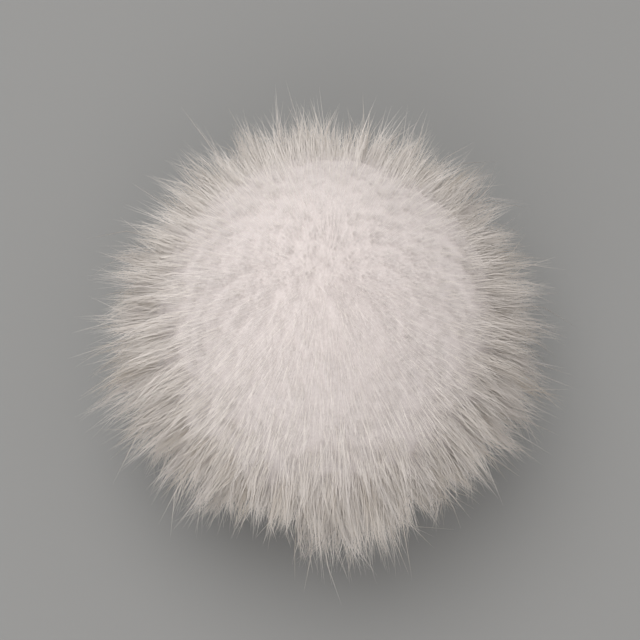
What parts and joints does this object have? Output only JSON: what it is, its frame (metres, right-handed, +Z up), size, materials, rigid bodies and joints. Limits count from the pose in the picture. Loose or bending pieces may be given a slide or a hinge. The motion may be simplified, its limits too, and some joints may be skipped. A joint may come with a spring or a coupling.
{
  "type": "pom pom",
  "caption": "Fluffy white long-pile fur pom pom, a slightly squat ball of tapered locks that rests on a small flat spot.",
  "frame": {"origin": "on the table, under the middle of the ball's box", "axes": "+Z up from the flat spot to the crown, +X to the right and +Y away from the viewer as pictured"},
  "size_m": [0.1262, 0.1296, 0.1083],
  "materials": {
    "white_fur": "soft long pile, warm white with a faint pink cast, soft sheen and tapered hair tips"
  },
  "bodies": {
    "root": {"fur_ball": "white_fur"}
  },
  "joints": []
}
